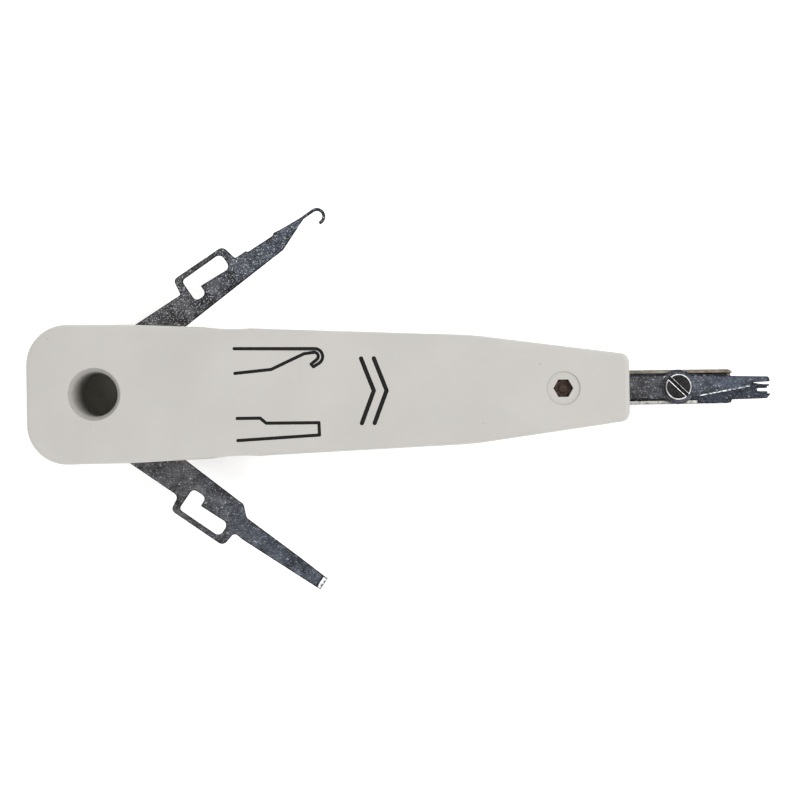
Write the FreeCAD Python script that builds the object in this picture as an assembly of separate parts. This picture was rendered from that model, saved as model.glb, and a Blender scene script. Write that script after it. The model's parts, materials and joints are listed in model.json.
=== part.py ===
"""Punch down tool: a flat two-shell handle with a sprung inserting head that carries scissors,
and two stamped steel tools, a wire hook and a release blade, that fold into the handle's sides.

Millimetres. The origin is on the axis of the hanging hole, on the plane where the two shells meet.
+X runs along the handle to the inserting tip, +Y to the hook's side, +Z out of the marked face.
"""

import FreeCAD
import Part
import math
import os
from FreeCAD import Vector

# ---- handle -------------------------------------------------------------------------------------
body_length = 142.0
body_thickness = 24.0
rear_width = 33.2
shoulder_width = 32.6
knee_width = 25.7
nose_width = 15.7
rear_to_hole = 16.0
shoulder_from_hole = 8.0
knee_from_nose = 37.0
rear_corner_radius = 9.5
shoulder_radius = 120.0
knee_radius = 70.0
nose_corner_radius = 2.2
face_edge_radius = 1.2
seam_chamfer = 0.25
wall = 2.2
rib = 1.6

hole_radius = 5.25
hole_lip_radius = 6.25
hole_lip_depth = 3.0
hole_tube_wall = 2.1
pin_post_wall = 2.8
cam_post_wall = 1.8

# ---- folding hook and release blade ---------------------------------------------------------------
tool_steel = 1.2
tool_side_clearance = 0.2
tool_pivot_x = 7.6
tool_pivot_inset = 4.0
tool_pin_radius = 1.5
tool_pin_length = 14.0
tool_end_clearance = 0.8
hook_open_angle = 33.5
blade_open_angle = 35.0
hook_edge = 3.1
blade_edge = 3.9
hook_reach = 53.9
blade_reach = 56.75
pocket_depth = 4.8
thumb_notch_length = 10.5
thumb_notch_depth = 0.3
hook_notch_from_pivot = 25.6
blade_notch_from_pivot = 27.4

# ---- inserting head -------------------------------------------------------------------------------
head_protrusion = 35.0
head_stroke = 6.0
scissor_close_angle = 4.0
pivot_from_nose = 12.5
cam_from_pivot = 28.1
channel_width = 8.2
channel_sheet = 0.9
channel_from_nose = 25.8
channel_tail = 42.0
channel_base_z = -4.0
inserter_steel = 2.0
fixed_steel = 1.4
moving_steel = 1.4
grind_width = 0.3
grind_depth = 0.3
plate_gap = 0.1
pivot_radius = 1.5
pivot_head_radius = 3.05
pivot_head_height = 1.3
pivot_slot_width = 0.8
pivot_slot_depth = 0.7
pivot_washer_radius = 3.75
pivot_washer_steel = 0.3
pivot_nut_flats = 5.5
pivot_nut_height = 1.8
eye_radius = 4.15
cam_radius = 2.0
sleeve_end = 1.2
jaw_tail_wall = 2.3
rivet_radius = 1.2
rivet_from_slot = 2.4
plate_behind_rivet = 1.6

# ---- spring ---------------------------------------------------------------------------------------
spring_length = 22.5
spring_coils = 9
spring_radius = 2.9
spring_wire_radius = 0.45
rod_radius = 1.4
rod_head_radius = 2.4
rod_head_height = 0.8
seat_steel = 1.5
seat_half_height = 6.0

# ---- fasteners ------------------------------------------------------------------------------------
shell_screw_radius = 1.0
shell_screw_head_radius = 1.9
shell_screw_head_height = 1.5
shell_screw_recess = 0.5
shell_nut_flats = 4.0
shell_nut_height = 1.6
nut_dish_radius = 4.0
nut_dish_depth = 0.4
nut_recess = 1.6
body_screw_radius = 1.3
body_screw_head_radius = 2.6
body_screw_head_height = 1.8
body_screw_grip = 7.0
body_screw_bite = 8.0
body_screw_x = 24.0
body_screw_point = 1.5
screw_post_wall = 1.5
dowel_radius = 1.3
dowel_height = 3.0
dowel_post_wall = 1.2
dowel_from_knee = 5.0
post_from_pocket = 1.5

# ---- marks on the front face ----------------------------------------------------------------------
groove_width = 0.75
groove_depth = 0.3
chevron_width = 1.0

# ---- clearances -----------------------------------------------------------------------------------
fixed_fit = 0.02
running_fit = 0.05
slide_fit = 0.15
head_fit = 0.2
end_room = 0.5
swing_room = 0.6

# ---- what follows from the sizes above ------------------------------------------------------------
half = body_thickness / 2
x_rear = -rear_to_hole
x_nose = x_rear + body_length
x_knee = x_nose - knee_from_nose
tool_pivot_y = shoulder_width / 2 - tool_pivot_inset
side_slope = math.atan2((shoulder_width - knee_width) / 2, x_knee - shoulder_from_hole)
pocket_half = tool_steel / 2 + tool_side_clearance
pocket_end = tool_pivot_x + blade_reach + tool_end_clearance
inner_y = tool_pivot_y - pocket_depth
seat_y = inner_y - rib
x_pivot = x_nose + pivot_from_nose
x_cam = x_pivot - cam_from_pivot
x_tip = x_nose + head_protrusion
x_channel_end = x_nose + channel_from_nose
x_channel_tail = x_nose - channel_tail
channel_half = channel_width / 2
inner_half = channel_half - channel_sheet
base_top = channel_base_z + channel_sheet
fixed_z = base_top + inserter_steel
moving_z = fixed_z + fixed_steel + plate_gap
moving_top = moving_z + moving_steel
washer_top = moving_top + pivot_washer_steel
rail_top = fixed_z + fixed_steel
x_seat = x_channel_tail - spring_length - seat_steel
x_tail_back = x_cam - cam_radius - jaw_tail_wall
x_rivet = x_cam + head_stroke + cam_radius + slide_fit + rivet_from_slot + rivet_radius
x_plate_back = x_rivet - rivet_radius - plate_behind_rivet
x_dowel = x_knee + dowel_from_knee
nut_floor = half - nut_dish_depth - nut_recess - shell_nut_height
nut_top = nut_floor + shell_nut_height
close_per_mm = math.radians(scissor_close_angle) / head_stroke

UP = Vector(0, 0, 1)


def box(x0, x1, y0, y1, z0, z1):
    """Block between two corners."""
    return Part.makeBox(x1 - x0, y1 - y0, z1 - z0, Vector(x0, y0, z0))


def post(x, y, z0, z1, radius):
    """Round post along Z."""
    return Part.makeCylinder(radius, z1 - z0, Vector(x, y, z0), UP)


def bar(x0, x1, y, z, radius):
    """Round bar along X."""
    return Part.makeCylinder(radius, x1 - x0, Vector(x0, y, z), Vector(1, 0, 0))


def rounded_wire(corners, z=0.0):
    """Closed wire through (x, y, radius) corners, each with a tangent arc of its radius."""
    count = len(corners)
    starts, ends, middles = [], [], []
    for i, (x, y, radius) in enumerate(corners):
        here = Vector(x, y, z)
        before = Vector(corners[i - 1][0], corners[i - 1][1], z) - here
        after = Vector(corners[(i + 1) % count][0], corners[(i + 1) % count][1], z) - here
        before.normalize()
        after.normalize()
        opening = before.getAngle(after)
        if radius <= 0 or opening > math.pi - 1e-4:
            starts.append(here)
            ends.append(here)
            middles.append(None)
            continue
        back = radius / math.tan(opening / 2)
        centre_distance = radius / math.sin(opening / 2)
        inward = (before + after).normalize()
        starts.append(here + before * back)
        ends.append(here + after * back)
        middles.append(here + inward * (centre_distance - radius))
    edges = []
    for i in range(count):
        if middles[i] is not None:
            edges.append(Part.Arc(starts[i], middles[i], ends[i]).toShape())
        onward = starts[(i + 1) % count]
        if (onward - ends[i]).Length > 1e-6:
            edges.append(Part.LineSegment(ends[i], onward).toShape())
    return Part.Wire(edges)


def plate(corners, z0, z1):
    """Flat plate with the rounded outline, from z0 to z1."""
    return Part.Face(rounded_wire(corners, z0)).extrude(Vector(0, 0, z1 - z0))


def ring(x, y, z0, z1, outer, inner):
    """Washer or tube along Z."""
    return post(x, y, z0, z1, outer).cut(post(x, y, z0, z1, inner))


def hexagon(x, y, z0, z1, flats):
    """Hexagonal prism along Z, a corner pointing along X."""
    radius = flats / math.sqrt(3)
    turns = [math.radians(60 * i) for i in range(6)]
    return plate([(x + radius * math.cos(t), y + radius * math.sin(t), 0) for t in turns], z0, z1)


def stadium(start, end, width, z0, z1):
    """Slot-shaped prism from start to end, (x, y) each, with round ends."""
    a = Vector(start[0], start[1], z0)
    b = Vector(end[0], end[1], z0)
    ends = post(a.x, a.y, z0, z1, width / 2).fuse(post(b.x, b.y, z0, z1, width / 2))
    along = (b - a).normalize()
    across = Vector(-along.y, along.x, 0) * (width / 2)
    outline = Part.makePolygon([a + across, b + across, b - across, a - across, a + across])
    return ends.fuse(Part.Face(outline).extrude(Vector(0, 0, z1 - z0))).removeSplitter()


def ring_sector(x, y, radius, width, first, last, z0, z1):
    """Part of a ring about (x, y) from angle first to last, in degrees."""
    outer = Part.makeCylinder(radius + width / 2, z1 - z0, Vector(x, y, z0), UP, last - first)
    sector = outer.cut(post(x, y, z0, z1, radius - width / 2))
    sector.rotate(Vector(x, y, z0), UP, first)
    return sector


def save(name, shape):
    """Writes one node as a STEP file and reports what it holds."""
    solids = shape.Solids
    assert solids and all(s.isValid() for s in solids), name
    body = solids[0] if len(solids) == 1 else Part.Compound(solids)
    body.exportStep(os.path.join("parts", name + ".step"))
    print(name, len(solids), round(sum(s.Volume for s in solids), 1))


# ---- shells ---------------------------------------------------------------------------------------
def body_wire(z=0.0):
    """Outline of the handle seen from the marked face."""
    upper = [
        (x_rear, rear_width / 2, rear_corner_radius),
        (shoulder_from_hole, shoulder_width / 2, shoulder_radius),
        (x_knee, knee_width / 2, knee_radius),
        (x_nose, nose_width / 2, nose_corner_radius),
    ]
    lower = [(x, -y, radius) for x, y, radius in reversed(upper)]
    return rounded_wire(upper + lower, z)


def side_y(x):
    """Half width of the handle between shoulder and knee."""
    return shoulder_width / 2 - (x - shoulder_from_hole) * math.tan(side_slope)


def mirrored(shape):
    """The same shape on the other side of the handle's middle plane, kept together with it."""
    return shape.fuse(shape.mirror(Vector(0, 0, 0), Vector(0, 1, 0)))


def shell_blank(side):
    """One hollow half of the handle; side is +1 for the marked front, -1 for the rear."""
    outline = Part.Face(body_wire())
    block = outline.extrude(Vector(0, 0, side * half))
    face_edges = [e for e in block.Edges if all(abs(v.Z - side * half) < 1e-6 for v in e.Vertexes)]
    block = block.makeFillet(face_edge_radius, face_edges)
    seam_edges = [e for e in block.Edges if all(abs(v.Z) < 1e-6 for v in e.Vertexes)]
    block = block.makeChamfer(seam_chamfer, seam_edges)
    hollow = outline.makeOffset2D(-wall).extrude(Vector(0, 0, side * (half - wall)))
    return block, block.cut(hollow)


def screw_post_radius(side):
    """The rear shell's posts hold the sunk heads, the front shell's only the threads."""
    if side < 0:
        return body_screw_head_radius + head_fit + screw_post_wall
    return body_screw_radius + screw_post_wall


def shell_ribs(side):
    """Bosses and ribs that both halves share."""
    low, high = sorted((0.0, side * half))
    tube = post(0, 0, low, high, hole_radius + hole_tube_wall)
    pivot_post = post(tool_pivot_x, tool_pivot_y, low, high, tool_pin_radius + pin_post_wall)
    guide = box(tool_pivot_x - 3, pocket_end + rib, seat_y, inner_y, low, high)
    end_wall = box(pocket_end, pocket_end + rib, seat_y, rear_width, low, high)
    shelf_step = (pocket_end - tool_pivot_x) / 5
    shelf_places = [tool_pivot_x + i * shelf_step for i in range(1, 5)]
    shelves = [box(x, x + rib, inner_y, rear_width, low, high) for x in shelf_places]
    screw_posts = [post(x, y, low, high, screw_post_radius(side)) for x, y in body_screw_places()]
    dowel_post = post(x_dowel, inner_y + post_from_pocket, low, high, dowel_radius + dowel_post_wall)
    sided = pivot_post.multiFuse([guide, end_wall, dowel_post] + shelves)
    cam_post = post(x_cam, 0, low, high, cam_radius + cam_post_wall)
    seat_ribs = [
        box(x0, x0 + rib, -seat_y, seat_y, low, high)
        for x0 in (x_seat - rib - fixed_fit, x_seat + seat_steel + fixed_fit)
    ]
    return mirrored(sided).multiFuse([tube, cam_post] + screw_posts + seat_ribs)


def rear_guides():
    """Rails and floor ribs in the rear shell that the channel slides between."""
    back, front = x_channel_tail - head_stroke - 2, x_nose - wall
    side = channel_half + slide_fit
    rail = box(back, front, side, side + rib, -half, 0)
    floor_rib = box(back, front, 1.9, 1.9 + rib, -half, channel_base_z - slide_fit)
    return mirrored(rail.fuse(floor_rib))


def front_guides():
    """Ribs in the front shell that hold the head down."""
    return mirrored(box(x_channel_tail + 3, x_nose - wall, 2.6, channel_half, 0, half))


def moving_space():
    """Room that the head, scissors, rod and spring sweep inside the handle."""
    back = x_channel_tail - head_stroke - 1
    front = x_nose + 5
    low = channel_base_z - slide_fit
    side = channel_half + slide_fit
    tail_back = x_tail_back - head_stroke - swing_room
    swing = channel_half + 2.4
    return box(back, front, -side, side, low, rail_top + slide_fit).multiFuse([
        box(back, x_channel_tail + 3, -side, side, low, -low),
        box(tail_back, x_nose - wall - swing_room, -swing, swing, 0, moving_top + slide_fit),
        box(x_nose - wall - 1, front, -side, side, low, moving_top + slide_fit),
        bar(x_seat, x_channel_tail, 0, 0, spring_radius + spring_wire_radius + swing_room),
        bar(x_seat - head_stroke - 12, x_channel_tail, 0, 0, rod_radius + 0.4),
    ])


def tool_pocket():
    """Slots in both sides of the handle that the hook and the blade fold into."""
    hook_back = tool_pivot_x - hook_edge - slide_fit
    blade_back = tool_pivot_x - blade_edge - slide_fit
    upper = box(hook_back, pocket_end, inner_y, rear_width, -pocket_half, pocket_half)
    lower = box(blade_back, pocket_end, -rear_width, -inner_y, -pocket_half, pocket_half)
    return upper.fuse(lower)


def thumb_notches():
    """Shallow dips in both sides that bare the finger loops of the folded tools."""
    radius = (thumb_notch_length**2 / 4 + thumb_notch_depth**2) / (2 * thumb_notch_depth)
    notches = []
    for side, from_pivot in ((1, hook_notch_from_pivot), (-1, blade_notch_from_pivot)):
        x = tool_pivot_x + from_pivot
        notches.append(post(x, side * (side_y(x) + radius - thumb_notch_depth), -half, half, radius))
    return notches[0].fuse(notches[1])


def hanging_hole():
    """Through hole with a tapered lip at each face."""
    bore = post(0, 0, -half, half, hole_radius)
    lip = Part.makeCone(hole_radius, hole_lip_radius, hole_lip_depth, Vector(0, 0, half - hole_lip_depth), UP)
    return bore.multiFuse([lip, lip.mirror(Vector(0, 0, 0), UP)])


def pin_holes():
    """Blind holes for the two hinge pins."""
    reach = tool_pin_length / 2
    return mirrored(post(tool_pivot_x, tool_pivot_y, -reach, reach, tool_pin_radius + fixed_fit))


def body_screw_places():
    """Where the three self-tapping screws stand."""
    x = pocket_end + rib + 3.0
    y = inner_y + post_from_pocket
    return [(body_screw_x, 0.0), (x, y), (x, -y)]


def shared_cuts():
    """Everything that is cut from both halves."""
    sleeve_seat = post(x_cam, 0, channel_base_z - sleeve_end, moving_top + sleeve_end, cam_radius + fixed_fit)
    screw_hole = post(x_cam, 0, -half, half, shell_screw_radius + fixed_fit)
    seat_slot = box(x_seat - fixed_fit, x_seat + seat_steel + fixed_fit, -seat_y, seat_y,
                    -seat_half_height, seat_half_height)
    return [
        tool_pocket(), thumb_notches(), hanging_hole(), pin_holes(),
        moving_space(), sleeve_seat, screw_hole, seat_slot,
    ]


def grooves(points):
    """Grooves in the front face along a line of (x, y) points."""
    return [stadium(a, b, groove_width, half - groove_depth, half + 1) for a, b in zip(points, points[1:])]


def hook_mark():
    """Lines of the hook pictogram, sunk into the front face."""
    bends = [
        ring_sector(x, y, radius, groove_width, first, 90, half - groove_depth, half + 1)
        for x, y, radius, first in ((52.0, 8.2, 1.87, -55), (51.9, 8.25, 0.96, -60))
    ]
    outer = grooves([(33.1, 10.3), (52.0, 10.07)])
    inner = grooves([(33.2, 4.5), (41.7, 5.3), (49.5, 8.9), (51.9, 9.21)])
    point = grooves([(52.38, 7.42), (51.15, 6.45), (51.7, 5.8), (53.07, 6.67)])
    return bends + outer + inner + point


def blade_mark():
    """Lines of the release blade pictogram."""
    return grooves([(33.6, -6.1), (39.0, -6.1), (40.4, -7.3), (52.8, -7.35), (52.9, -10.25), (33.7, -11.3)])


def chevron_mark():
    """Two plain chevrons that point to the tip."""
    lines = []
    for x in (62.9, 65.9):
        for side in (-1, 1):
            lines.append(stadium((x, side * 7.6), (x + 2.9, 0), chevron_width, half - groove_depth, half + 1))
    return lines


def rear_shell():
    """Half of the handle that lies on the bench, with the screw heads."""
    block, shell = shell_blank(-1)
    shell = shell.fuse(shell_ribs(-1).fuse(rear_guides()).common(block))
    for x, y in body_screw_places():
        head = post(x, y, -half, -body_screw_grip, body_screw_head_radius + head_fit)
        shell = shell.cut(head.fuse(post(x, y, -half, 0, body_screw_radius + slide_fit)))
    head_floor = -half + shell_screw_recess + shell_screw_head_height
    shell = shell.cut(post(x_cam, 0, -half, head_floor, shell_screw_head_radius + head_fit))
    shell = shell.cut(Part.Compound(shared_cuts()))
    dowel = post(x_dowel, inner_y + post_from_pocket, -1, dowel_height, dowel_radius)
    return shell.fuse(mirrored(dowel)).removeSplitter()


def front_shell():
    """Half of the handle with the pictograms and the nut."""
    block, shell = shell_blank(1)
    shell = shell.fuse(shell_ribs(1).fuse(front_guides()).common(block))
    for x, y in body_screw_places():
        shell = shell.cut(post(x, y, 0, body_screw_bite + end_room, body_screw_radius + fixed_fit))
    dish = post(x_cam, 0, half - nut_dish_depth, half, nut_dish_radius)
    pocket = hexagon(x_cam, 0, nut_floor, half, shell_nut_flats + 2 * running_fit)
    socket = post(x_dowel, inner_y + post_from_pocket, 0, dowel_height + end_room, dowel_radius + running_fit)
    cuts = shared_cuts() + [dish, pocket, mirrored(socket)] + hook_mark() + blade_mark() + chevron_mark()
    for tool in cuts:
        shell = shell.cut(tool)
    return shell.removeSplitter()


# ---- folding tools --------------------------------------------------------------------------------
def folding_tool(outline, window, tang_radius, extras=()):
    """Stamped steel tool in its own frame: the pivot at the origin, its back edge towards +Y."""
    z0, z1 = -tool_steel / 2, tool_steel / 2
    blank = plate(outline, z0, z1).multiFuse([post(0, 0, z0, z1, tang_radius)] + list(extras))
    blank = blank.cut(plate(window, z0 - 1, z1 + 1))
    blank = blank.cut(post(0, 0, z0 - 1, z1 + 1, tool_pin_radius + running_fit))
    return blank.removeSplitter()


def pull_hook():
    """Tool that draws a wire out of its contact."""
    bend_radius, wire_width, bend_y = 1.68, 0.76, 0.0
    top = bend_y + bend_radius + wire_width / 2
    under = bend_y + bend_radius - wire_width / 2
    outline = [
        (0, hook_edge, 0), (16.3, hook_edge - 0.25, 0.4), (16.9, 6.8, 1.2), (31.2, 6.8, 1.6),
        (32.0, 2.75, 0.6), (35.1, 2.7, 0.3), (35.5, 2.25, 0.3), (42.6, 2.15, 0.3), (43.1, 2.6, 0.3),
        (44.6, 2.35, 1.5), (50.3, top - 0.1, 6), (hook_reach, top, 0), (hook_reach, under, 0),
        (50.9, under, 0.8), (42.7, -2.1, 1.5), (33.1, -2.7, 8), (12.9, -4.1, 6), (0, -hook_edge, 0),
    ]
    window = [
        (18.4, 5.5, 0.9), (29.8, 5.7, 1.4), (29.8, 1.5, 1.3), (21.5, 1.9, 0.15),
        (21.5, -0.5, 1.2), (18.4, -0.5, 1.2),
    ]
    bend = ring_sector(hook_reach, bend_y, bend_radius, wire_width, -105, 90, -tool_steel / 2, tool_steel / 2)
    hook = folding_tool(outline, window, hook_edge, [bend])
    hook.rotate(Vector(0, 0, 0), UP, hook_open_angle)
    hook.translate(Vector(tool_pivot_x, tool_pivot_y, 0))
    return hook


def release_blade():
    """Flat blade that prises a terminal block off its rail, ground to a chisel at its tip."""
    outline = [
        (0, blade_edge, 0), (15.9, blade_edge, 1.2), (16.4, 7.7, 1.2), (31.6, 7.7, 1.5), (32.0, 3.6, 1.0),
        (34.6, 3.85, 3), (blade_reach, 3.27, 0.15), (blade_reach, 0.07, 0.15), (48.2, -0.43, 8),
        (32.4, -1.05, 1.2), (30.0, -3.3, 1.2), (12.9, -4.2, 6), (0, -blade_edge, 0),
    ]
    window = [
        (17.8, 6.4, 0.9), (29.6, 6.4, 1.4), (29.6, 2.6, 1.4), (21.7, 2.8, 0.15),
        (21.7, 0.4, 1.2), (17.8, 0.4, 1.2),
    ]
    blade = folding_tool(outline, window, blade_edge)
    chisel = Part.makeBox(4, 8, 2, Vector(0, -2, 0))
    chisel.rotate(Vector(0, 0, 0), Vector(0, 1, 0), 32)
    chisel.translate(Vector(blade_reach - 1.2, 0, tool_steel / 2))
    blade = blade.cut(chisel)
    blade = blade.mirror(Vector(0, 0, 0), Vector(0, 1, 0))
    blade.rotate(Vector(0, 0, 0), UP, -blade_open_angle)
    blade.translate(Vector(tool_pivot_x, -tool_pivot_y, 0))
    return blade


def tool_pin(side):
    """Steel hinge pin of a folding tool."""
    return post(tool_pivot_x, side * tool_pivot_y, -tool_pin_length / 2, tool_pin_length / 2, tool_pin_radius)


# ---- inserting head -------------------------------------------------------------------------------
def pivot_hole(radius):
    """Hole for the scissors' pivot through the whole stack."""
    return post(x_pivot, 0, -half, half, radius)


def head_channel():
    """Folded sheet channel that carries the head and takes the spring's push on its end flange."""
    length = x_channel_end - x_channel_tail
    corners = [
        (x_channel_tail, channel_half, 0.5), (x_channel_end, channel_half, 1.3),
        (x_channel_end, -channel_half, 1.3), (x_channel_tail, -channel_half, 0.5),
    ]
    block = plate(corners, channel_base_z, rail_top)
    low_edges = [e for e in block.Edges if abs(e.CenterOfMass.z - channel_base_z) < 1e-6]
    block = block.makeFillet(0.5, [e for e in low_edges if e.Length > length / 2])
    inside = box(x_channel_tail - 1, x_channel_end + 1, -inner_half, inner_half, base_top, rail_top + 1)
    channel = block.cut(inside)
    flange = box(x_channel_tail, x_channel_tail + channel_sheet, -channel_half, channel_half,
                 channel_base_z, -channel_base_z)
    channel = channel.fuse(flange).removeSplitter()
    shoulder = box(x_pivot + 4.9, x_channel_end + 1, -channel_half - 1, -inner_half, fixed_z, rail_top + 1)
    slot_width = 2 * (cam_radius + slide_fit)
    slot = stadium((x_cam, 0), (x_cam + head_stroke, 0), slot_width, channel_base_z - 1, base_top + 1)
    rod_hole = bar(x_channel_tail - 1, x_channel_tail + 2, 0, 0, rod_radius + fixed_fit)
    rivet_hole = post(x_rivet, 0, channel_base_z - 1, base_top + 1, rivet_radius + fixed_fit)
    bolt_hole = pivot_hole(pivot_radius + fixed_fit)
    return channel.cut(Part.Compound([shoulder, slot, rod_hole, rivet_hole, bolt_hole]))


def inserter_blade():
    """Thick forked blade that pushes the wire into its contact."""
    back = x_plate_back
    side = inner_half - fixed_fit
    outline = [
        (back, side, 0.3), (x_channel_end - 1.5, side, 0.8), (x_channel_end, 1.6, 1.5),
        (x_tip - 0.7, 0.25, 0.2), (x_tip - 0.7, -0.55, 0.1), (x_tip - 3.1, -0.6, 0.3),
        (x_tip - 3.1, -1.25, 0.3), (x_tip - 0.6, -1.3, 0.1), (x_tip - 0.6, -2.8, 0.3),
        (x_channel_end - 0.1, -2.9, 0.8), (x_channel_end - 0.7, -side, 0.2), (back, -side, 0.3),
    ]
    blade = plate(outline, base_top, fixed_z)
    rivet_hole = post(x_rivet, 0, base_top - 1, fixed_z + 1, rivet_radius + fixed_fit)
    return blade.cut(Part.Compound([rivet_hole, pivot_hole(pivot_radius + fixed_fit)]))


def fixed_jaw():
    """Lower scissor jaw, riveted over the inserting blade, with a shoulder that bears on the channel."""
    back = x_plate_back
    side = inner_half - fixed_fit
    step = x_pivot + 5.0
    shoulder = slide_fit - channel_half
    outline = [
        (back, side, 0.3), (x_pivot + 4, side, 2), (x_pivot + 11.5, 1.5, 2), (x_tip - 4.9, 0.42, 1),
        (x_tip - 0.45, 0.4, 0.1), (x_tip - 0.45, -0.1, 0.1), (x_tip - 3.4, -0.15, 0.2),
        (x_tip - 4.1, -0.95, 0.3), (x_tip - 3.2, -1.75, 0.2), (x_tip, -1.85, 0.15),
        (x_tip - 1.0, -3.05, 0.2), (x_channel_end - 0.2, -3.2, 0.2), (x_channel_end - 0.4, shoulder, 0.3),
        (step, shoulder, 0.3), (step, -side, 0.2), (back, -side, 0.3),
    ]
    jaw = plate(outline, fixed_z, rail_top)
    rivet_hole = post(x_rivet, 0, fixed_z - 1, rail_top + 1, rivet_radius + fixed_fit)
    return jaw.cut(Part.Compound([rivet_hole, pivot_hole(pivot_radius + fixed_fit)]))


def cam_slot_point(travel, offset):
    """Place of the cam sleeve in the moving jaw's own plane after the head has travelled, moved
    sideways by offset from the slot's middle line."""
    def middle(s):
        turn = close_per_mm * s
        reach = cam_from_pivot - s
        return Vector(x_pivot - reach * math.cos(turn), -reach * math.sin(turn), 0)
    along = (middle(travel + 0.01) - middle(travel - 0.01)).normalize()
    return middle(travel) + Vector(-along.y, along.x, 0) * offset, along


def cam_slot():
    """Slanted slot that turns the moving jaw as the head slides back over the fixed cam sleeve."""
    radius = cam_radius + running_fit
    ends = (-running_fit, head_stroke + running_fit)
    upper = [cam_slot_point(s, radius)[0] for s in (ends[0], head_stroke / 2, ends[1])]
    lower = [cam_slot_point(s, -radius)[0] for s in (ends[0], head_stroke / 2, ends[1])]
    near, far = [cam_slot_point(s, 0) for s in ends]
    wire = Part.Wire([
        Part.Arc(*upper).toShape(),
        Part.Arc(upper[2], far[0] + far[1] * radius, lower[2]).toShape(),
        Part.Arc(lower[2], lower[1], lower[0]).toShape(),
        Part.Arc(lower[0], near[0] - near[1] * radius, upper[0]).toShape(),
    ])
    slot = Part.Face(wire).extrude(Vector(0, 0, moving_steel + 2))
    slot.translate(Vector(0, 0, moving_z - 1))
    return slot


def cutting_grind():
    """What the grindstone takes off the moving jaw's upper face along its cutting edge."""
    heel, toe = Vector(x_pivot + 5.2, -2.34, moving_top), Vector(x_tip - 5.2, -0.13, moving_top)
    along = Vector(toe - heel).normalize()
    inward = Vector(-along.y, along.x, 0)
    slope = grind_depth / grind_width
    profile = Part.makePolygon([
        heel + inward * grind_width, heel - inward * grind_width - UP * (2 * grind_width * slope),
        heel - inward * grind_width + UP, heel + inward * grind_width + UP, heel + inward * grind_width,
    ])
    return Part.Face(profile).extrude(toe - heel)


def moving_jaw():
    """Upper scissor jaw with the round eye at its pivot and the cam slot in its tail."""
    shank_half = 2.8
    neck = x_nose - wall - 2.3
    tail_front = neck - 3.0
    outline = [
        (x_tail_back, 3.9, 1.5), (tail_front, 3.9, 1.5), (neck, shank_half, 1.5), (x_pivot, shank_half, 0),
        (x_pivot + 17, 2.36, 6), (x_tip - 0.85, 2.25, 0.5), (x_tip - 0.45, 1.4, 0.3),
        (x_tip - 0.6, 1.02, 0.15), (x_tip - 4.6, 0.8, 0.3), (x_tip - 4.85, -0.1, 0.1),
        (x_pivot + 3.4, -2.6, 1.0), (x_pivot, -shank_half, 0), (neck, -shank_half, 1.5),
        (tail_front, -5.3, 1.5), (x_tail_back, -5.3, 1.5),
    ]
    jaw = plate(outline, moving_z, moving_top)
    jaw = jaw.fuse(post(x_pivot, 0, moving_z, moving_top, eye_radius)).removeSplitter()
    return jaw.cut(Part.Compound([cam_slot(), pivot_hole(pivot_radius + running_fit), cutting_grind()]))


def pivot_screw():
    """Slotted screw that the moving jaw turns on."""
    foot = channel_base_z - pivot_nut_height - 0.4
    top = washer_top + pivot_head_height
    head = post(x_pivot, 0, washer_top, top, pivot_head_radius)
    rim = [e for e in head.Edges if abs(e.CenterOfMass.z - top) < 1e-6 and e.Closed]
    head = head.makeChamfer(0.22, rim[:1])
    slot_floor = top - pivot_slot_depth
    slot = box(-5, 5, -pivot_slot_width / 2, pivot_slot_width / 2, slot_floor, slot_floor + 3)
    slot.rotate(Vector(0, 0, 0), UP, -44)
    slot.translate(Vector(x_pivot, 0, 0))
    return head.cut(slot).fuse(post(x_pivot, 0, foot, washer_top, pivot_radius)).removeSplitter()


def guide_rod():
    """Rod riveted into the channel's flange; it keeps the spring straight."""
    head_back = x_channel_tail + channel_sheet
    shank = bar(x_seat - head_stroke - 4, head_back, 0, 0, rod_radius)
    return shank.fuse(bar(head_back, head_back + rod_head_height, 0, 0, rod_head_radius)).removeSplitter()


def main_spring():
    """Round-wire compression spring between the seat and the channel's flange."""
    free = spring_length - 2 * spring_wire_radius
    helix = Part.makeHelix(free / spring_coils, free, spring_radius)
    start = Vector(spring_radius, 0, 0)
    section = Part.Wire([Part.makeCircle(spring_wire_radius, start, Vector(0, 1, 0))])
    coil = Part.Wire(helix.Edges).makePipeShell([section], True, True)
    coil.rotate(Vector(0, 0, 0), Vector(0, 1, 0), 90)
    coil.translate(Vector(x_seat + seat_steel + spring_wire_radius, 0, 0))
    return coil


def spring_seat():
    """Plate held between the shells' ribs that the spring stands on."""
    side = seat_y - fixed_fit
    top = seat_half_height - fixed_fit
    seat = box(x_seat, x_seat + seat_steel, -side, side, -top, top)
    return seat.cut(bar(x_seat - 1, x_seat + seat_steel + 1, 0, 0, rod_radius + slide_fit))


# ---- fasteners ------------------------------------------------------------------------------------
def shell_screw():
    """Machine screw through both shells; its head is sunk in the rear one."""
    head_floor = -half + shell_screw_recess
    under = head_floor + shell_screw_head_height
    head = post(x_cam, 0, head_floor, under, shell_screw_head_radius)
    slot = box(x_cam - 3, x_cam + 3, -0.3, 0.3, head_floor - 1, head_floor + 0.6)
    shank = post(x_cam, 0, under, nut_top + 0.4, shell_screw_radius)
    return head.cut(slot).fuse(shank).removeSplitter()


def shell_nut():
    """Hexagon nut in the front shell's pocket."""
    body = hexagon(x_cam, 0, nut_floor, nut_top, shell_nut_flats)
    cone = Part.makeCone(shell_nut_flats / 2 + shell_nut_height, shell_nut_flats / 2 - 0.05,
                         shell_nut_height, Vector(x_cam, 0, nut_floor), UP)
    return body.common(cone).cut(post(x_cam, 0, nut_floor - 1, nut_top + 1, shell_screw_radius + fixed_fit))


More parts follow.
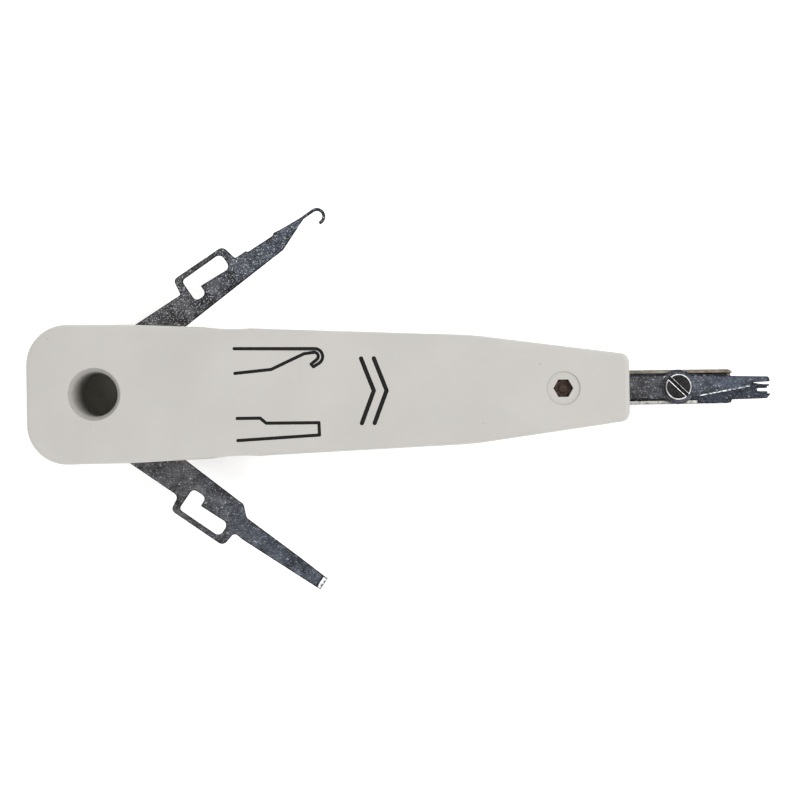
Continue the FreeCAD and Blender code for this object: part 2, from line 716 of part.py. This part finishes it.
def cam_sleeve():
    """Hardened tube over the shell screw: it guides the channel and works the cam slot."""
    return ring(x_cam, 0, channel_base_z - sleeve_end, moving_top + sleeve_end, cam_radius,
                shell_screw_radius + fixed_fit)


def body_screw(x, y):
    """Self-tapping screw with a cross recess."""
    head = post(x, y, -body_screw_grip - body_screw_head_height, -body_screw_grip, body_screw_head_radius)
    floor = -body_screw_grip - body_screw_head_height
    for turn in (0, 90):
        groove = box(-1.5, 1.5, -0.3, 0.3, floor - 1, floor + 1.0)
        groove.rotate(Vector(0, 0, 0), UP, turn)
        groove.translate(Vector(x, y, 0))
        head = head.cut(groove)
    point_foot = body_screw_bite - body_screw_point
    shank = post(x, y, -body_screw_grip, point_foot, body_screw_radius)
    point = Part.makeCone(body_screw_radius, 0.2, body_screw_point, Vector(x, y, point_foot), UP)
    return head.multiFuse([shank, point]).removeSplitter()


def main():
    os.makedirs("parts", exist_ok=True)
    save("front_shell", front_shell())
    save("rear_shell", rear_shell())
    save("shell_screw", shell_screw())
    save("shell_nut", shell_nut())
    save("cam_sleeve", cam_sleeve())
    save("body_screws", Part.Compound([body_screw(x, y) for x, y in body_screw_places()]))
    save("hook_pin", tool_pin(1))
    save("blade_pin", tool_pin(-1))
    save("spring_seat", spring_seat())
    save("main_spring", main_spring())
    save("pull_hook", pull_hook())
    save("release_blade", release_blade())
    save("head_channel", head_channel())
    save("inserter_blade", inserter_blade())
    save("fixed_jaw", fixed_jaw())
    save("head_rivet", post(x_rivet, 0, channel_base_z, rail_top, rivet_radius))
    save("guide_rod", guide_rod())
    save("pivot_screw", pivot_screw())
    washer = ring(x_pivot, 0, moving_top, washer_top, pivot_washer_radius, pivot_radius + fixed_fit)
    save("pivot_washer", washer)
    nut = hexagon(x_pivot, 0, channel_base_z - pivot_nut_height, channel_base_z, pivot_nut_flats)
    save("pivot_nut", nut.cut(pivot_hole(pivot_radius + fixed_fit)))
    save("moving_jaw", moving_jaw())


main()
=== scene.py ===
"""Looks of the punch down tool: moulded handle, folding wire hook and release blade, and the
inserting head with its scissors. Metres, in the model's own frame; +X runs to the tip, +Z out of
the marked face."""

import json
import math

import bmesh
import bpy
from mathutils import Matrix, Vector


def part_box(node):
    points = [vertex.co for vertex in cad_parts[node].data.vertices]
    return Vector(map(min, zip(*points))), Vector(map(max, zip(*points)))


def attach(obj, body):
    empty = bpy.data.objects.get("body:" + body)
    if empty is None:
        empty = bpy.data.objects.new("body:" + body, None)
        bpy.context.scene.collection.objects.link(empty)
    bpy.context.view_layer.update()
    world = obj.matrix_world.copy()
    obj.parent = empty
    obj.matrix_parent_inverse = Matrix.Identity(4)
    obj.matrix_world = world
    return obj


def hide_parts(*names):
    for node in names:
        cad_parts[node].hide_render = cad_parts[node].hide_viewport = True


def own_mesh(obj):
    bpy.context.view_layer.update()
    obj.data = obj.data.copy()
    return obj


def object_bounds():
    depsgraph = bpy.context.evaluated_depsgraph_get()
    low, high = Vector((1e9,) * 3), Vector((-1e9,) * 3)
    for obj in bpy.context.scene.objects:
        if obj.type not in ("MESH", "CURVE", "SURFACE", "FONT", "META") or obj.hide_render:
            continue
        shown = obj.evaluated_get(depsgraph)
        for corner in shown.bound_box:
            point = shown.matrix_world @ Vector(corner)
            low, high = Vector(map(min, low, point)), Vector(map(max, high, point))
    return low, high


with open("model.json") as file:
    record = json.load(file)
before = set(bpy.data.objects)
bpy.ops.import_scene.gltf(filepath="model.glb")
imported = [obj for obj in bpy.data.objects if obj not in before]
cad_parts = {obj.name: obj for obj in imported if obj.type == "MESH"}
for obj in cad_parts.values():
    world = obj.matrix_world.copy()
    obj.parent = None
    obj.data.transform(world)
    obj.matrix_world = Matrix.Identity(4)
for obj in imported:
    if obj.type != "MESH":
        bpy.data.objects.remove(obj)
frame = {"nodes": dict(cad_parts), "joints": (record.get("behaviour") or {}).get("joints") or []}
cad_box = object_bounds()
MM = 0.001

# ---- Handle shells --------------------------------------------------------------------------------
# Two injection-moulded halves in warm off-white ABS with a fine spark-eroded grain. They meet on a
# plane at mid thickness, and the front one carries sunk pictograms and two chevrons, filled with
# black paint.


def piece_from_node(node):
    """A clean copy of a CAD node that stands for it: corners merged and flat faces made whole."""
    source = frame["nodes"][node]
    mesh = bpy.data.meshes.new(node + "_finish")
    piece = bpy.data.objects.new(mesh.name, mesh)
    bpy.context.scene.collection.objects.link(piece)
    form = bmesh.new()
    form.from_mesh(source.data)
    same_corner = 0.0005 * MM
    flat_limit = math.radians(0.6)
    bmesh.ops.remove_doubles(form, verts=form.verts, dist=same_corner)
    bmesh.ops.dissolve_limit(form, angle_limit=flat_limit, verts=form.verts, edges=form.edges)
    for face in form.faces:
        face.material_index = 0
        face.smooth = True
    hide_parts(node)
    return piece, form


def crisp_edges(form, least=35.0, chosen=None):
    """Edges sharper than least degrees; chosen(place) may leave out some by where their middle is."""
    sharp = []
    for edge in form.edges:
        if len(edge.link_faces) != 2:
            continue
        if math.degrees(edge.calc_face_angle(0)) < least:
            continue
        middle = (edge.verts[0].co + edge.verts[1].co) / 2
        if chosen is None or chosen(middle):
            sharp.append(edge)
    return sharp


def break_edges(form, edges, width, steps=2, finish=None):
    """Rounds the edges over width; the new faces take the finish with that number, if one is given."""
    made = bmesh.ops.bevel(
        form, geom=edges, offset=width, offset_type="WIDTH", segments=steps, profile=0.5,
        affect="EDGES", clamp_overlap=False, material=-1,
    )
    for face in made["faces"]:
        face.smooth = True
        if finish is not None:
            face.material_index = finish


def finish_piece(piece, form, finishes, body, crease=38.0):
    """Writes the form into the piece, marks its creases and hangs it on its body."""
    for edge in form.edges:
        if len(edge.link_faces) == 2:
            edge.smooth = math.degrees(edge.calc_face_angle(0)) < crease
    form.to_mesh(piece.data)
    form.free()
    for finish in finishes:
        piece.data.materials.append(finish)
    normals = piece.modifiers.new("even_shading", "WEIGHTED_NORMAL")
    normals.keep_sharp = True
    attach(piece, body)


def new_finish(name):
    """A material with its shader, and the Object coordinates that its patterns read."""
    finish = bpy.data.materials.new(name)
    finish.use_nodes = True
    nodes, links = finish.node_tree.nodes, finish.node_tree.links
    shader = nodes["Principled BSDF"]
    place = nodes.new("ShaderNodeTexCoord").outputs["Object"]
    return finish, nodes, links, shader, place


def noise(nodes, links, place, grains_per_mm, detail=4.0, roughness=0.5, distortion=0.0):
    """Noise with that many grains in a millimetre."""
    texture = nodes.new("ShaderNodeTexNoise")
    texture.inputs["Scale"].default_value = grains_per_mm / MM
    texture.inputs["Detail"].default_value = detail
    texture.inputs["Roughness"].default_value = roughness
    texture.inputs["Distortion"].default_value = distortion
    links.new(place, texture.inputs["Vector"])
    return texture.outputs["Fac"]


def ramp(nodes, links, amount, stops):
    """Colour ramp through (position, colour) stops."""
    node = nodes.new("ShaderNodeValToRGB")
    band = node.color_ramp
    while len(band.elements) < len(stops):
        band.elements.new(0.5)
    for element, (position, colour) in zip(band.elements, stops):
        element.position = position
        element.color = (*colour, 1.0)
    links.new(amount, node.inputs["Fac"])
    return node.outputs["Color"]


def mix(nodes, links, amount, first, second, way="MIX"):
    """Colour mix of two outputs; amount is an output or a fixed share."""
    node = nodes.new("ShaderNodeMix")
    node.data_type = "RGBA"
    node.blend_type = way
    if isinstance(amount, float):
        node.inputs["Factor"].default_value = amount
    else:
        links.new(amount, node.inputs["Factor"])
    links.new(first, node.inputs[6])
    links.new(second, node.inputs[7])
    return node.outputs[2]


def span(nodes, links, amount, low, high, start=0.0, stop=1.0):
    """Brings a value between start and stop to between low and high."""
    node = nodes.new("ShaderNodeMapRange")
    node.inputs["From Min"].default_value = start
    node.inputs["From Max"].default_value = stop
    node.inputs["To Min"].default_value = low
    node.inputs["To Max"].default_value = high
    links.new(amount, node.inputs["Value"])
    return node.outputs["Result"]


def relief(nodes, links, shader, height, depth, strength=1.0, under=None):
    """Bump of that depth in metres; under is the bump that it lies on."""
    node = nodes.new("ShaderNodeBump")
    node.inputs["Distance"].default_value = depth
    node.inputs["Strength"].default_value = strength
    links.new(height, node.inputs["Height"])
    if under is not None:
        links.new(under, node.inputs["Normal"])
    links.new(node.outputs["Normal"], shader.inputs["Normal"])
    return node.outputs["Normal"]


def handle_plastic():
    """Off-white ABS: slow cloudy tone, a few dark dust specks, spark-eroded grain."""
    finish, nodes, links, shader, place = new_finish("handle_plastic")
    cloud = noise(nodes, links, place, 0.06, detail=3.0)
    tone = ramp(nodes, links, cloud, [(0.3, (0.428, 0.414, 0.390)), (0.7, (0.460, 0.446, 0.423))])
    dust = noise(nodes, links, place, 0.8, detail=2.0)
    dust_mask = span(nodes, links, dust, 0.0, 0.45, 0.76, 0.80)
    soot = ramp(nodes, links, dust, [(0.0, (0.14, 0.13, 0.12)), (1.0, (0.20, 0.19, 0.17))])
    links.new(mix(nodes, links, dust_mask, tone, soot), shader.inputs["Base Color"])
    grain = noise(nodes, links, place, 4.5, detail=3.0, roughness=0.6)
    links.new(span(nodes, links, grain, 0.42, 0.60), shader.inputs["Roughness"])
    waves = noise(nodes, links, place, 0.12, detail=2.0)
    under = relief(nodes, links, shader, waves, 0.02 * MM, 0.4)
    relief(nodes, links, shader, grain, 0.012 * MM, 0.6, under)
    shader.inputs["Specular IOR Level"].default_value = 0.42
    shader.inputs["Subsurface Weight"].default_value = 0.06
    shader.inputs["Subsurface Radius"].default_value = (0.9 * MM, 0.7 * MM, 0.5 * MM)
    shader.inputs["Subsurface Scale"].default_value = 1.0
    return finish


def groove_paint():
    """Black filling paint, slightly uneven at the bottom of the grooves."""
    finish, nodes, links, shader, place = new_finish("groove_paint")
    grain = noise(nodes, links, place, 3.0, detail=3.0)
    links.new(
        ramp(nodes, links, grain, [(0.3, (0.006, 0.006, 0.006)), (0.8, (0.022, 0.021, 0.020))]),
        shader.inputs["Base Color"],
    )
    links.new(span(nodes, links, grain, 0.6, 0.85), shader.inputs["Roughness"])
    shader.inputs["Specular IOR Level"].default_value = 0.15
    relief(nodes, links, shader, grain, 0.02 * MM, 0.5)
    return finish


plastic = handle_plastic()
paint = groove_paint()
face_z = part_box("front_shell")[1].z
nut_low, nut_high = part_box("shell_nut")
nut_middle = (nut_low + nut_high) / 2
groove_reach = 0.4 * MM
dish_reach = 5.0 * MM
marks_from = 28 * MM
marks_to = 75 * MM
marks_half_width = 12 * MM
below_face = 0.02 * MM
face_depth = 0.01 * MM
front_edge_width = 0.1 * MM
rear_edge_width = 0.12 * MM

front, form = piece_from_node("front_shell")


def in_groove(place):
    """The sunk marks are the only shallow hollows of the face away from the nut's dish."""
    sunk = face_z - groove_reach < place.z < face_z - below_face
    clear_of_dish = (place.xy - nut_middle.xy).length > dish_reach
    return sunk and clear_of_dish and marks_from < place.x < marks_to and abs(place.y) < marks_half_width


for face in form.faces:
    if in_groove(face.calc_center_median()):
        face.material_index = 1
face_edges = crisp_edges(form, chosen=lambda place: place.z > face_z - face_depth)
break_edges(form, face_edges, front_edge_width, finish=0)
finish_piece(front, form, [plastic, paint], "handle")

rear, form = piece_from_node("rear_shell")
face_edges = crisp_edges(form, chosen=lambda place: place.z < -face_z + face_depth)
break_edges(form, face_edges, rear_edge_width, finish=0)
finish_piece(rear, form, [plastic], "handle")

# ---- Folding hook and release blade ---------------------------------------------------------------
# Blanked from 1.2 mm spring steel, hardened and tumbled, so the faces are dark and mottled with
# bright pin-points, and the rolled edges keep a black skin that is rubbed through in places. Each
# turns on a pin near the handle's rear.


def tumbled_steel(name, dark, light, turn_degrees, grit, glint, blue_from=30 * MM):
    """Dark hardened steel: browner near the handle and bluer past blue_from, rolled grain along
    the piece, grit as the strength of its fine bright pin-points and glint of its larger nicks."""
    finish, nodes, links, shader, place = new_finish(name)
    along = nodes.new("ShaderNodeMapping")
    along.inputs["Rotation"].default_value = (0.0, 0.0, -math.radians(turn_degrees))
    along.inputs["Scale"].default_value = (0.10, 1.0, 1.0)
    links.new(place, along.inputs["Vector"])
    rolled = noise(nodes, links, along.outputs["Vector"], 2.8, detail=5.0, roughness=0.62)
    mottle = noise(nodes, links, place, 0.26, detail=6.0, roughness=0.66, distortion=0.5)
    base = ramp(nodes, links, mottle, [(0.36, dark), (0.64, light)])
    streak = ramp(nodes, links, rolled, [(0.32, (0.66, 0.66, 0.67)), (0.68, (1.15, 1.15, 1.16))])
    split = nodes.new("ShaderNodeSeparateXYZ")
    links.new(place, split.inputs["Vector"])
    fade = 10 * MM
    heat = span(nodes, links, split.outputs["X"], 0.0, 1.0, blue_from - fade, blue_from + fade)
    temper = ramp(nodes, links, heat, [(0.0, (1.04, 0.98, 0.93)), (1.0, (0.90, 0.99, 1.14))])
    tinted = mix(nodes, links, 1.0, base, temper, "MULTIPLY")
    toned = mix(nodes, links, 1.0, tinted, streak, "MULTIPLY")
    bright = ramp(nodes, links, rolled, [(0.3, (0.42, 0.45, 0.50)), (0.7, (0.95, 0.97, 1.0))])
    points = noise(nodes, links, place, 3.0, detail=1.0, roughness=0.5)
    pointed = mix(nodes, links, span(nodes, links, points, 0.0, grit, 0.59, 0.68), toned, bright)
    nicks = noise(nodes, links, place, 1.5, detail=4.0, roughness=0.7, distortion=0.8)
    nick_mask = span(nodes, links, nicks, 0.0, glint, 0.62, 0.66)
    links.new(mix(nodes, links, nick_mask, pointed, bright), shader.inputs["Base Color"])
    shader.inputs["Metallic"].default_value = 1.0
    links.new(span(nodes, links, mottle, 0.30, 0.48), shader.inputs["Roughness"])
    under = relief(nodes, links, shader, rolled, 0.012 * MM, 0.5)
    relief(nodes, links, shader, points, 0.02 * MM, 0.5, under)
    return finish


def rubbed_edge(name, skin, bare, bare_from):
    """An edge whose skin is rubbed through to bare metal where the wear is over bare_from."""
    finish, nodes, links, shader, place = new_finish(name)
    wear = noise(nodes, links, place, 1.4, detail=4.0)
    blend = 0.06
    stops = [(bare_from - blend, skin), (bare_from + blend, bare)]
    links.new(ramp(nodes, links, wear, stops), shader.inputs["Base Color"])
    shader.inputs["Metallic"].default_value = 1.0
    links.new(span(nodes, links, wear, 0.42, 0.26), shader.inputs["Roughness"])
    relief(nodes, links, shader, wear, 0.01 * MM, 0.4)
    return finish


hook_turn = 33.5
blade_turn = -35.0
steel_dark = (0.050, 0.050, 0.052)
steel_light = (0.190, 0.198, 0.215)
edge_skin = rubbed_edge("edge_skin", (0.006, 0.006, 0.007), (0.40, 0.41, 0.43), 0.66)
ground_edge = rubbed_edge("ground_edge", (0.16, 0.17, 0.19), (0.92, 0.93, 0.94), 0.49)
hook_steel = tumbled_steel("hook_steel", steel_dark, steel_light, hook_turn, 1.0, 0.85)
blade_steel = tumbled_steel("blade_steel", steel_dark, steel_light, blade_turn, 0.30, 0.95)
hook_edge_width = 0.32 * MM
blade_edge_width = 0.30 * MM
chisel_slope = (0.6, 0.95)


def shear_edges(form, width, least=35.0):
    """Rolls the sheared edges over; they take the piece's second finish, its edge skin."""
    break_edges(form, crisp_edges(form, least), width, steps=3, finish=1)


hook, form = piece_from_node("pull_hook")
shear_edges(form, hook_edge_width)
finish_piece(hook, form, [hook_steel, edge_skin], "hook")

blade, form = piece_from_node("release_blade")
for face in form.faces:
    if chisel_slope[0] < face.normal.z < chisel_slope[1]:
        face.material_index = 2
shear_edges(form, blade_edge_width, least=30.0)
finish_piece(blade, form, [blade_steel, edge_skin, ground_edge], "blade")

# ---- Hinge pins and the head's inner parts --------------------------------------------------------
# Two ground hinge pins held between the shells, and the cam sleeve, spring seat, guide rod and head
# rivet, all of bright steel with their edges just broken. Little of any of them shows.


def ground_steel():
    """Bright steel with fine turning lines."""
    finish, nodes, links, shader, place = new_finish("ground_steel")
    lines = nodes.new("ShaderNodeTexWave")
    lines.bands_direction = "Z"
    lines.inputs["Scale"].default_value = 1.6 / MM
    lines.inputs["Distortion"].default_value = 1.5
    links.new(place, lines.inputs["Vector"])
    cloud = noise(nodes, links, place, 0.5)
    links.new(
        ramp(nodes, links, cloud, [(0.3, (0.40, 0.41, 0.42)), (0.7, (0.55, 0.56, 0.58))]),
        shader.inputs["Base Color"],
    )
    shader.inputs["Metallic"].default_value = 1.0
    links.new(span(nodes, links, cloud, 0.2, 0.35), shader.inputs["Roughness"])
    relief(nodes, links, shader, lines.outputs["Fac"], 0.006 * MM, 0.4)
    return finish


bright_steel = ground_steel()
ground_edge_width = 0.12 * MM
for node, body in (
    ("hook_pin", "handle"),
    ("blade_pin", "handle"),
    ("cam_sleeve", "handle"),
    ("spring_seat", "handle"),
    ("guide_rod", "head"),
    ("head_rivet", "head"),
):
    part, form = piece_from_node(node)
    break_edges(form, crisp_edges(form), ground_edge_width)
    finish_piece(part, form, [bright_steel], body)

# ---- Inserting head: channel ----------------------------------------------------------------------
# Cold-rolled sheet folded to a U and yellow-passivated. The coat has gone olive and dull, browner
# towards the tip, and the top of the rail on the blade's side is rubbed bright.


def passivated_sheet():
    """Yellow chromate over zinc, dulled to olive, rusty past rust_from, with lines along the sheet."""
    finish, nodes, links, shader, place = new_finish("olive_steel")
    along = nodes.new("ShaderNodeMapping")
    along.inputs["Scale"].default_value = (0.1, 1.0, 1.0)
    links.new(place, along.inputs["Vector"])
    lines = noise(nodes, links, along.outputs["Vector"], 2.0, detail=4.0)
    cloud = noise(nodes, links, place, 0.4, detail=5.0, roughness=0.65)
    coat = ramp(nodes, links, cloud, [
        (0.30, (0.135, 0.120, 0.088)), (0.52, (0.255, 0.228, 0.182)), (0.75, (0.360, 0.330, 0.290)),
    ])
    rust = ramp(nodes, links, cloud, [(0.35, (0.120, 0.080, 0.055)), (0.65, (0.300, 0.235, 0.190))])
    split = nodes.new("ShaderNodeSeparateXYZ")
    links.new(place, split.inputs["Vector"])
    rust_from, rust_to = 136 * MM, 144 * MM
    rusty = span(nodes, links, split.outputs["X"], 0.0, 0.45, rust_from, rust_to)
    links.new(mix(nodes, links, rusty, coat, rust), shader.inputs["Base Color"])
    shader.inputs["Metallic"].default_value = 0.9
    links.new(span(nodes, links, lines, 0.34, 0.55), shader.inputs["Roughness"])
    relief(nodes, links, shader, lines, 0.01 * MM, 0.5)
    return finish


olive_sheet = passivated_sheet()
olive_wear = rubbed_edge("olive_wear", (0.36, 0.34, 0.30), (0.74, 0.72, 0.68), 0.46)
channel_edge_width = 0.16 * MM
facing_up = 0.9
rail_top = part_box("fixed_jaw")[1].z - 0.1 * MM
channel, form = piece_from_node("head_channel")
for face in form.faces:
    middle = face.calc_center_median()
    if face.normal.z > facing_up and middle.z > rail_top and middle.y < 0:
        face.material_index = 2
shear_edges(form, channel_edge_width)
finish_piece(channel, form, [olive_sheet, edge_skin, olive_wear], "head")

# ---- Inserting head: blade and scissors -----------------------------------------------------------
# Three hardened plates one on another: the thick forked blade, the fixed jaw riveted over it and the
# moving jaw with its round eye. The cutting edge is ground bright on its upper side.

head_dark, head_light = (0.026, 0.026, 0.028), (0.062, 0.066, 0.074)
jaw_dark, jaw_light = (0.040, 0.041, 0.046), (0.105, 0.112, 0.125)
head_steel = tumbled_steel("head_steel", head_dark, head_light, 0.0, 0.12, 0.4, blue_from=0.0)
jaw_steel = tumbled_steel("jaw_steel", jaw_dark, jaw_light, 0.0, 0.20, 0.6, blue_from=140 * MM)
inserter_edge_width = 0.10 * MM
fixed_edge_width = 0.14 * MM
moving_edge_width = 0.20 * MM
grind_from_pivot = 4 * MM
grind_slope = (0.4, 0.95)

inserter, form = piece_from_node("inserter_blade")
shear_edges(form, inserter_edge_width, least=30.0)
finish_piece(inserter, form, [head_steel, edge_skin], "head")

fixed, form = piece_from_node("fixed_jaw")
shear_edges(form, fixed_edge_width, least=30.0)
finish_piece(fixed, form, [head_steel, edge_skin], "head")


def joint_named(name):
    """The frame's joint of that name."""
    return next(joint for joint in frame["joints"] if joint["name"] == name)


pivot = joint_named("scissor_turn")["pos_m"]
moving, form = piece_from_node("moving_jaw")
for face in form.faces:
    ahead_of_eye = face.calc_center_median().x > pivot[0] + grind_from_pivot
    if ahead_of_eye and grind_slope[0] < face.normal.z < grind_slope[1]:
        face.material_index = 2
shear_edges(form, moving_edge_width, least=50.0)
finish_piece(moving, form, [jaw_steel, edge_skin, ground_edge], "scissor")

# ---- Pivot screw, washer and nut ------------------------------------------------------------------
# A slotted cheese-head screw in black oxide, its rim and slot rubbed bright, a thin dark steel washer
# under its head, and a hexagon nut in black oxide underneath.


def black_oxide():
    """Oiled black oxide on a turned head."""
    finish, nodes, links, shader, place = new_finish("black_oxide")
    cloud = noise(nodes, links, place, 1.6, detail=5.0, roughness=0.6)
    links.new(
        ramp(nodes, links, cloud, [(0.35, (0.010, 0.010, 0.010)), (0.7, (0.040, 0.039, 0.041))]),
        shader.inputs["Base Color"],
    )
    shader.inputs["Metallic"].default_value = 0.75
    links.new(span(nodes, links, cloud, 0.26, 0.44), shader.inputs["Roughness"])
    relief(nodes, links, shader, cloud, 0.015 * MM, 0.5)
    return finish


oxide = black_oxide()
rim_wear = rubbed_edge("rim_wear", (0.35, 0.35, 0.35), (0.85, 0.85, 0.86), 0.40)
screw_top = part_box("pivot_screw")[1].z
rim_height = 0.25 * MM
rim_slope = (0.2, 0.9)
top_depth = 0.02 * MM
slot_edge_width = 0.16 * MM
screw, form = piece_from_node("pivot_screw")
for face in form.faces:
    middle = face.calc_center_median()
    if middle.z > screw_top - rim_height and rim_slope[0] < face.normal.z < rim_slope[1]:
        face.material_index = 1
slot_edges = crisp_edges(form, 50.0, lambda place: place.z > screw_top - top_depth)
break_edges(form, slot_edges, slot_edge_width, finish=1)
finish_piece(screw, form, [oxide, rim_wear], "head")

washer_edge_width = 0.1 * MM
for node, finish, slot in (
    ("pivot_washer", jaw_steel, "blade_steel"),
    ("pivot_nut", oxide, "black_oxide"),
):
    part, form = piece_from_node(node)
    break_edges(form, crisp_edges(form), washer_edge_width, finish=1)
    finish_piece(part, form, [finish, edge_skin], "head")

# ---- Shell screw, its nut and the body screws -----------------------------------------------------
# An M2 machine screw joins the shells at the nose: its end shows in a browned nut sunk in the front
# face. Three zinc-plated self-tappers stand deep in the rear shell.


def browned_steel():
    """Heat-browned steel, rusty in the hollows."""
    finish, nodes, links, shader, place = new_finish("brown_steel")
    cloud = noise(nodes, links, place, 2.2, detail=5.0, roughness=0.65)
    links.new(
        ramp(nodes, links, cloud, [
            (0.30, (0.020, 0.014, 0.011)), (0.55, (0.075, 0.050, 0.040)), (0.8, (0.170, 0.120, 0.098)),
        ]),
        shader.inputs["Base Color"],
    )
    shader.inputs["Metallic"].default_value = 0.85
    links.new(span(nodes, links, cloud, 0.3, 0.55), shader.inputs["Roughness"])
    relief(nodes, links, shader, cloud, 0.02 * MM, 0.6)
    return finish


def zinc_plate():
    """Bright zinc with a faint cloud."""
    finish, nodes, links, shader, place = new_finish("zinc_steel")
    cloud = noise(nodes, links, place, 1.2, detail=5.0)
    links.new(
        ramp(nodes, links, cloud, [(0.35, (0.36, 0.36, 0.37)), (0.65, (0.58, 0.58, 0.60))]),
        shader.inputs["Base Color"],
    )
    shader.inputs["Metallic"].default_value = 1.0
    links.new(span(nodes, links, cloud, 0.22, 0.38), shader.inputs["Roughness"])
    relief(nodes, links, shader, cloud, 0.008 * MM, 0.4)
    return finish


brown = browned_steel()
zinc = zinc_plate()
screw_edge_width = 0.06 * MM
for node, finish, slot in (
    ("shell_nut", brown, "brown_steel"),
    ("shell_screw", brown, "dark_steel"),
    ("body_screws", zinc, "zinc_steel"),
):
    part, form = piece_from_node(node)
    break_edges(form, crisp_edges(form), screw_edge_width)
    finish_piece(part, form, [finish], "handle")

# ---- Main spring ----------------------------------------------------------------------------------
# Nine coils of oiled 0.9 mm round wire, between the seat plate and the channel's end flange.

wire_radius = 0.45 * MM
wire_sides = 14
coils = 9
steps_per_coil = 40
spring_low, spring_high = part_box("main_spring")
spring_length = spring_high.x - spring_low.x
coil_radius = spring_high.z - wire_radius
coil_pitch = (spring_length - 2 * wire_radius) / coils

spring_mesh = bpy.data.meshes.new("coil_spring")
spring = bpy.data.objects.new("coil_spring", spring_mesh)
bpy.context.scene.collection.objects.link(spring)
form = bmesh.new()
bmesh.ops.create_circle(form, cap_ends=False, segments=wire_sides, radius=wire_radius)
upright = Matrix.Rotation(math.pi / 2, 3, "X")
bmesh.ops.rotate(form, verts=form.verts, cent=(0, 0, 0), matrix=upright)
bmesh.ops.translate(form, verts=form.verts, vec=(spring_low.x + wire_radius, 0, -coil_radius))
bmesh.ops.spin(
    form, geom=form.verts[:] + form.edges[:], cent=(0, 0, 0), axis=(1, 0, 0),
    dvec=(coil_pitch / steps_per_coil, 0, 0), angle=2 * math.pi * coils,
    steps=steps_per_coil * coils, use_merge=False, use_duplicate=False,
)
wire_ends = [edge for edge in form.edges if edge.is_boundary]
bmesh.ops.holes_fill(form, edges=wire_ends, sides=wire_sides)
bmesh.ops.recalc_face_normals(form, faces=form.faces)
for face in form.faces:
    face.smooth = True
spring_wire = tumbled_steel("spring_steel", (0.12, 0.12, 0.12), (0.26, 0.26, 0.27), 0.0, 0.1, 0.1)
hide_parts("main_spring")
finish_piece(spring, form, [spring_wire], "handle")
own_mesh(spring)

# ---- Floor, lights and camera ---------------------------------------------------------------------
# The tool lies on a pale bench under large soft lights, seen from straight above. The bench glows a
# little, so that it stays white. Within hole_shade of the hanging hole it has painted shade instead: an
# olive dark tone and no glow, standing in for the shade at the bottom of the hole.

floor_size = 3.0
floor_drop = 0.1 * MM
picture_middle_x = 0.07
hole_shade = (13.5 * MM, 17 * MM)
floor_mesh = bpy.data.meshes.new("floor")
form = bmesh.new()
bmesh.ops.create_grid(form, x_segments=1, y_segments=1, size=floor_size / 2)
bmesh.ops.translate(form, verts=form.verts, vec=(picture_middle_x, 0.0, cad_box[0].z - floor_drop))
form.to_mesh(floor_mesh)
form.free()
floor = bpy.data.objects.new("floor", floor_mesh)
bpy.context.scene.collection.objects.link(floor)
bench, nodes, links, paper, place = new_finish("bench")
from_hole = nodes.new("ShaderNodeVectorMath")
from_hole.operation = "LENGTH"
links.new(place, from_hole.inputs[0])
# Painted shade: close under the hanging hole the bench turns olive dark and stops glowing.
bench_clear_of_painted_shade = span(nodes, links, from_hole.outputs["Value"], 0.0, 1.0, *hole_shade)
bench_tones_with_painted_shade = [(0.0, (0.64, 0.63, 0.54)), (1.0, (0.95, 0.95, 0.95))]
links.new(ramp(nodes, links, bench_clear_of_painted_shade, bench_tones_with_painted_shade), paper.inputs["Base Color"])
links.new(span(nodes, links, bench_clear_of_painted_shade, 0.0, 0.26), paper.inputs["Emission Strength"])
paper.inputs["Emission Color"].default_value = (1.0, 1.0, 1.0, 1.0)
paper.inputs["Roughness"].default_value = 0.9
floor_mesh.materials.append(bench)

world = bpy.data.worlds.new("studio")
world.use_nodes = True
nodes, links = world.node_tree.nodes, world.node_tree.links
way = nodes.new("ShaderNodeTexCoord").outputs["Generated"]
parts = nodes.new("ShaderNodeSeparateXYZ")
links.new(way, parts.inputs["Vector"])
glow = span(nodes, links, parts.outputs["Z"], 1.15, 0.12, 0.84, 0.95)
links.new(glow, nodes["Background"].inputs["Strength"])
nodes["Background"].inputs["Color"].default_value = (1.0, 1.0, 1.0, 1.0)
bpy.context.scene.world = world


def softbox(name, place, aim, size, power):
    """Square area light at place, turned to aim."""
    lamp = bpy.data.lights.new(name, "AREA")
    lamp.size = size
    lamp.energy = power
    holder = bpy.data.objects.new(name, lamp)
    holder.location = place
    holder.rotation_euler = (Vector(aim) - Vector(place)).to_track_quat("-Z", "Y").to_euler()
    bpy.context.scene.collection.objects.link(holder)


lit_place = (picture_middle_x, 0.0, 0.0)
softbox("key", (0.45, 0.12, 0.55), lit_place, size=0.35, power=1.9)
softbox("fill", (-0.25, -0.25, 0.6), lit_place, size=0.5, power=0.8)

camera_height = 0.55
picture_width = 0.188
handle_slope = 0.0133
camera_turn = math.atan(handle_slope)
camera_x = 71.93 * MM
camera_y = -2.27 * MM
camera_data = bpy.data.cameras.new("camera")
camera_data.sensor_width = 36.0
camera_data.lens = camera_data.sensor_width * camera_height / picture_width
camera = bpy.data.objects.new("camera", camera_data)
camera.location = (camera_x, camera_y, face_z + camera_height)
camera.rotation_euler = (0.0, 0.0, -camera_turn)
bpy.context.scene.collection.objects.link(camera)
bpy.context.scene.camera = camera
bpy.context.scene.view_settings.view_transform = "Standard"
